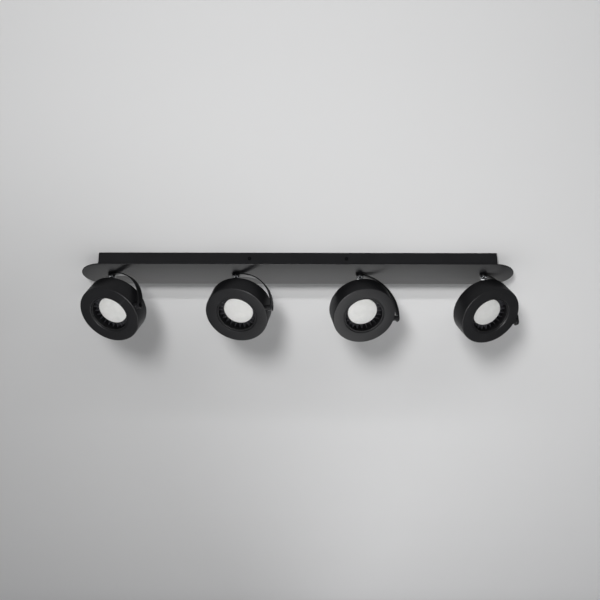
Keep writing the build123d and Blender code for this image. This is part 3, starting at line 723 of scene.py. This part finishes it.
def buildSpacer(number):
    tilt = joints[f"tilt_{number}"]
    seat = headLook["offset"] + headLook["radius"] + headLook["bossStandOut"]
    end = armLook["reach"] - armLook["thickness"] - spacerLook["play"]
    bore, collar, waist = headLook["pinHole"], spacerLook["collar"], spacerLook["waist"]
    profile = rounded([(bore, seat, 0), (collar, seat, 0.3), (collar, seat + 2.2, 0.2), (waist, seat + 2.7, 0.2),
                       (waist, end - 2.2, 0.2), (collar, end - 1.7, 0.2), (collar, end, 0.3), (bore, end, 0)], 4)
    matrix = axisFrame(Vector(tilt["pos_m"]), Vector(tilt["axis"]), Vector((0, 0, 1)))
    makePiece(f"tiltSpacer{number}", *placed(lathe(profile, 64, True), matrix), materials["coatedSteel"],
              f"head_{number}", [f"tilt_spacer_{number}"], "black_coat")


for number in headNumbers:
    middle, side, beam = headFrame(number)
    buildSwivel(number)
    buildArm(number)
    buildSpacer(number)
    buildHousing(number, middle, side, beam)
    buildHeatSink(number, middle, side, beam)
    buildDiffuser(number, middle, side, beam)
    for nodeName, finish, edgeWidth in (("tilt_pin", "blackOxide", 0.15), ("rear_cover", "coatedSteel", 0.3),
                                        ("cover_screws", "blackOxide", 0.15)):
        softened(f"{nodeName}_{number}", materials[finish], edgeWidth)
    softened(f"led_board_{number}", materials["solderMask"], 0.1, segments=1)
print("heads built")

# stage: a pale floor far below and a ceiling that shows only from underneath
stageLook = {
    "floor": -2.4, "size": 120.0,                          # m
    "floorColour": "#dedede", "floorGlow": 0.40,
    "bounceDrop": 0.03, "bounceGlow": 0.07,                # what the floor gives back as light
    "backdropGlow": 0.46, "backdropFit": 0.98, "backdropRings": 9, "backdropSides": 48,
    # the ceiling's colours are painted light and shade: darker near, paler far off, with a painted shade to the left
    "ceilingGap": 0.4 * mm, "ceilingNearPaintedShade": "#cfcfcf", "ceilingFarPaintedLight": "#f4f4f4", "ceilingPaintedLightRamp": (-0.6, 4.5),
    "ceilingPaintedShade": 0.80, "paintedShadeAcross": (-0.5, 0.5), "paintedShadeAway": (-0.6, 0.3),
    "roller": 6.0, "rollerDepth": 0.2, "rollerBump": 0.02, "paintRoughness": 0.9,
}


def stagePlane(name, corners, material):
    mesh = bpy.data.meshes.new(name)
    mesh.from_pydata(corners, [], [[0, 1, 2, 3]])
    plane = bpy.data.objects.new(name, mesh)
    bpy.context.scene.collection.objects.link(plane)
    mesh.materials.append(material)
    return plane


def paintMaterial(name, colour, glow, paintedLightColour=None, paintedShade=1.0):
    # flat wall paint: matt, faint roller texture; a ceiling gets a painted shade softly to the left and painted
    # light, darker near and paler far off, and is clear from above
    look = stageLook
    material, tree, shader = newMaterial(name)
    place = addNode(tree, "ShaderNodeTexCoord").outputs["Object"]
    roller = addNode(tree, "ShaderNodeTexNoise", {"Scale": grainOf(look["roller"]), "Detail": 2.0}, {"Vector": place})
    relief = addNode(tree, "ShaderNodeBump", {"Strength": look["rollerBump"], "Distance": look["rollerDepth"] * mm},
                     {"Height": roller.outputs["Fac"]})
    tree.links.new(relief.outputs["Normal"], shader.inputs["Normal"])
    shader.inputs["Base Color"].default_value = linearColour(colour)
    shader.inputs["Roughness"].default_value = look["paintRoughness"]
    shader.inputs["Specular IOR Level"].default_value = 0.0
    shader.inputs["Emission Color"].default_value = (1.0, 1.0, 1.0, 1.0)
    shader.inputs["Emission Strength"].default_value = glow
    if not paintedLightColour:
        return material
    split = addNode(tree, "ShaderNodeSeparateXYZ", {}, {"Vector": place})
    # painted shade: the ceiling darkens towards the left, once past the near edge
    left, right = look["paintedShadeAcross"]
    across = addNode(tree, "ShaderNodeMapRange", {"interpolation_type": "SMOOTHSTEP", "From Min": left,
                                                  "From Max": right, "To Min": 1.0, "To Max": 0.0},
                     {"Value": split.outputs["X"]})
    near, far = look["paintedShadeAway"]
    away = addNode(tree, "ShaderNodeMapRange", {"interpolation_type": "SMOOTHSTEP", "From Min": near,
                                                "From Max": far}, {"Value": split.outputs["Y"]})
    paintedShadeMask = addNode(tree, "ShaderNodeMath", {"operation": "MULTIPLY"})
    tree.links.new(across.outputs["Result"], paintedShadeMask.inputs[0])
    tree.links.new(away.outputs["Result"], paintedShadeMask.inputs[1])
    # painted light and shade: the colour runs from the darker near one to the paler far one along Y
    near, far = look["ceilingPaintedLightRamp"]
    paintedLightRamp = addNode(tree, "ShaderNodeMapRange", {"From Min": near, "From Max": far}, {"Value": split.outputs["Y"]})
    tone = addNode(tree, "ShaderNodeMix", {"data_type": "RGBA"}, {"Factor": paintedLightRamp.outputs["Result"]})
    tone.inputs[mixA].default_value = linearColour(colour)
    tone.inputs[mixB].default_value = linearColour(paintedLightColour)
    # the painted shade scales the colour down to the shade factor
    paintedShadeFactor = addNode(tree, "ShaderNodeMapRange", {"To Min": 1.0, "To Max": paintedShade}, {"Value": paintedShadeMask.outputs[0]})
    paintedShadeColour = addNode(tree, "ShaderNodeVectorMath", {"operation": "SCALE"}, {"Scale": paintedShadeFactor.outputs["Result"]})
    tree.links.new(tone.outputs[mixed], paintedShadeColour.inputs[0])
    tree.links.new(paintedShadeColour.outputs["Vector"], shader.inputs["Base Color"])
    clear = addNode(tree, "ShaderNodeBsdfTransparent")
    back = addNode(tree, "ShaderNodeNewGeometry").outputs["Backfacing"]
    mix = addNode(tree, "ShaderNodeMixShader")
    tree.links.new(back, mix.inputs[0])
    tree.links.new(shader.outputs["BSDF"], mix.inputs[1])
    tree.links.new(clear.outputs["BSDF"], mix.inputs[2])
    output = next(node for node in tree.nodes if node.type == "OUTPUT_MATERIAL")
    tree.links.new(mix.outputs["Shader"], output.inputs["Surface"])
    return material


def hideFrom(item, *rays):  # rays: camera, diffuse, glossy, shadow, transmission
    for ray in rays:
        setattr(item, "visible_" + ray, False)


def squareAt(height):
    reach = stageLook["size"] / 2
    return [(-reach, -reach, height), (reach, -reach, height), (reach, reach, height), (-reach, reach, height)]


paleFloor = stagePlane("paleFloor", squareAt(stageLook["floor"]),
                       paintMaterial("floorPaint", stageLook["floorColour"], stageLook["floorGlow"]))
hideFrom(paleFloor, "diffuse", "glossy", "shadow")
floorBounce = stagePlane("floorBounce", squareAt(stageLook["floor"] - stageLook["bounceDrop"]),
                         paintMaterial("bouncePaint", stageLook["floorColour"], stageLook["bounceGlow"]))
hideFrom(floorBounce, "camera", "glossy")
overhead = squareAt(stageLook["ceilingGap"])
ceiling = stagePlane("ceilingBackdrop", overhead[:1] + overhead[:0:-1],  # turned over, to face down
                     paintMaterial("ceilingPaint", stageLook["ceilingNearPaintedShade"], 0.0, stageLook["ceilingFarPaintedLight"],
                                   stageLook["ceilingPaintedShade"]))
hideFrom(ceiling, "diffuse", "glossy", "shadow")


def buildBackdrop():
    # a pale backdrop closes the room around the floor; it is only there to be looked at
    radius, floor = stageLook["size"] / 2 * stageLook["backdropFit"], stageLook["floor"]
    count = stageLook["backdropRings"]
    rings = []
    for k in range(count):
        rise = radians(90) * k / count
        rings.append((radius * cos(rise), floor + radius * sin(rise)))
    verts, faces = lathe(rings + [(0, floor + radius)], stageLook["backdropSides"], False)
    mesh = bpy.data.meshes.new("paleBackdrop")
    mesh.from_pydata(verts, [], faces)
    mesh.shade_smooth()
    mesh.materials.append(paintMaterial("backdropPaint", stageLook["floorColour"], stageLook["backdropGlow"]))
    dome = bpy.data.objects.new("paleBackdrop", mesh)
    bpy.context.scene.collection.objects.link(dome)
    hideFrom(dome, "diffuse", "glossy", "shadow", "transmission")


buildBackdrop()

# lamps: name, place (m), aimed at (m), width, height (m), spread (deg), power (W), even with distance
lamps = [
    ("ceilingKey", (-0.20, -2.07, -0.73), (0.1, 0.4, -0.38), 0.24, 0.24, 80, 3.4, True),
    ("ceilingGraze", (0.0, -2.2, -0.47), (0.0, 0.4, -0.11), 1.8, 0.05, 80, 2.3, True),
    ("frontSoft", (-0.15, -1.35, -1.4), (0, 0, -0.08), 0.6, 0.6, 180, 26.0, False),
    ("backTop", (-0.5, 1.7, 1.9), (0, 0, -0.05), 1.4, 1.4, 180, 60.0, False),
]
# reflector cards, seen only in the sheen of coat and chrome: name, middle, aimed at, width, height (m), glow
cards = [
    ("lowerBackCard", (0.0, 3.3, -1.65), (0, 0, 0), 2.6, 1.5, 1.4),
    ("farBackCard", (0.0, 4.2, -0.1), (0, 0, 0), 4.5, 0.9, 1.4),
    ("underCard", (0.2, 0.1, -2.3), (0.2, 0.1, 0), 1.35, 1.4, 2.6),
    ("leftGlint", (-2.2, -1.3, -0.9), (0, 0, 0), 0.8, 1.6, 3.0),
    ("rightGlint", (2.2, -1.3, -0.9), (0, 0, 0), 0.8, 1.6, 3.0),
]


def addLamp(name, place, target, width, height, spreadAngle, power, even):
    data = bpy.data.lights.new(name, "AREA")
    data.shape = "ELLIPSE"
    data.size = width
    data.size_y = height
    data.spread = radians(spreadAngle)
    data.energy = power
    if even:
        data.use_nodes = True
        tree = data.node_tree
        tree.nodes.clear()
        output = addNode(tree, "ShaderNodeOutputLight")
        falloff = addNode(tree, "ShaderNodeLightFalloff", {"Strength": 1.0})
        glow = addNode(tree, "ShaderNodeEmission", {}, {"Strength": falloff.outputs["Constant"]})
        tree.links.new(glow.outputs["Emission"], output.inputs["Surface"])
    lamp = bpy.data.objects.new(name, data)
    lamp.location = place
    lamp.rotation_euler = (Vector(target) - Vector(place)).to_track_quat("-Z", "Y").to_euler()
    lamp.visible_camera = False
    bpy.context.scene.collection.objects.link(lamp)
    return lamp


def addCard(name, place, target, width, height, glow):
    material = bpy.data.materials.new(name + "Glow")
    material.use_nodes = True
    tree = material.node_tree
    tree.nodes.clear()
    output = addNode(tree, "ShaderNodeOutputMaterial")
    light = addNode(tree, "ShaderNodeEmission", {"Strength": glow})
    tree.links.new(light.outputs["Emission"], output.inputs["Surface"])
    look = (Vector(target) - Vector(place)).to_track_quat("-Z", "Y").to_matrix()
    corners = [tuple(Vector(place) + look @ Vector((x * width / 2, y * height / 2, 0)))
               for x, y in ((-1, -1), (1, -1), (1, 1), (-1, 1))]
    card = stagePlane(name, corners, material)
    hideFrom(card, "camera", "diffuse", "shadow", "transmission")


ceilingKey, ceilingGraze, frontSoft, backTop = [addLamp(*lamp) for lamp in lamps]
receivers = bpy.data.collections.new("ceilingOnly")
receivers.objects.link(ceiling)
for lamp in (ceilingKey, ceilingGraze):  # these two draw the shadows on the ceiling and light nothing else
    lamp.light_linking.receiver_collection = receivers
lit = bpy.data.collections.new("pieces")
for piece in bpy.context.scene.objects:
    if piece.type == "MESH" and piece != ceiling:
        lit.objects.link(piece)
for lamp in (frontSoft, backTop):  # these two light the pieces, not the ceiling
    lamp.light_linking.receiver_collection = lit
for card in cards:
    addCard(*card)
capsOnly = bpy.data.collections.new("capsOnly")
for number in headNumbers:
    capsOnly.objects.link(bpy.data.objects[f"swivelCap{number}"])
for glint in ("leftGlint", "rightGlint"):  # these two put the bright sides on the polished caps
    bpy.data.objects[glint].light_linking.receiver_collection = capsOnly

# the room around: paler below than above
roomLook = {"below": 0.12, "above": 0.24, "horizon": 0.25, "colour": "#fbfcff"}
world = bpy.data.worlds.new("paleRoom")
world.use_nodes = True
roomTree = world.node_tree
heading = addNode(roomTree, "ShaderNodeTexCoord").outputs["Generated"]
upward = addNode(roomTree, "ShaderNodeSeparateXYZ", {}, {"Vector": heading}).outputs["Z"]
roomTone = addNode(roomTree, "ShaderNodeMapRange",
                   {"From Min": -roomLook["horizon"], "From Max": roomLook["horizon"], "To Min": roomLook["below"],
                    "To Max": roomLook["above"]}, {"Value": upward})
roomTree.links.new(roomTone.outputs["Result"], roomTree.nodes["Background"].inputs["Strength"])
roomTree.nodes["Background"].inputs["Color"].default_value = linearColour(roomLook["colour"])
bpy.context.scene.world = world

# camera: below the bar, in front of it, looking up
cameraLook = {"place": (-2.6 * mm, -1597.6 * mm, plateUnder * mm - 769.5 * mm), "lens": 57.23, "sensor": 36.0,
              "pitch": 0.422, "yaw": -0.004, "clip": 60.0}  # m, mm and radians
camera = bpy.data.cameras.new("viewer")
camera.lens = cameraLook["lens"]
camera.sensor_width = cameraLook["sensor"]
camera.clip_end = cameraLook["clip"]
viewer = bpy.data.objects.new("viewer", camera)
viewer.location = cameraLook["place"]
viewer.rotation_euler = Euler((pi / 2 + cameraLook["pitch"], 0, cameraLook["yaw"]))
bpy.context.scene.collection.objects.link(viewer)
bpy.context.scene.camera = viewer
bpy.context.scene.view_settings.view_transform = "Standard"
print("stage, lights and camera set")
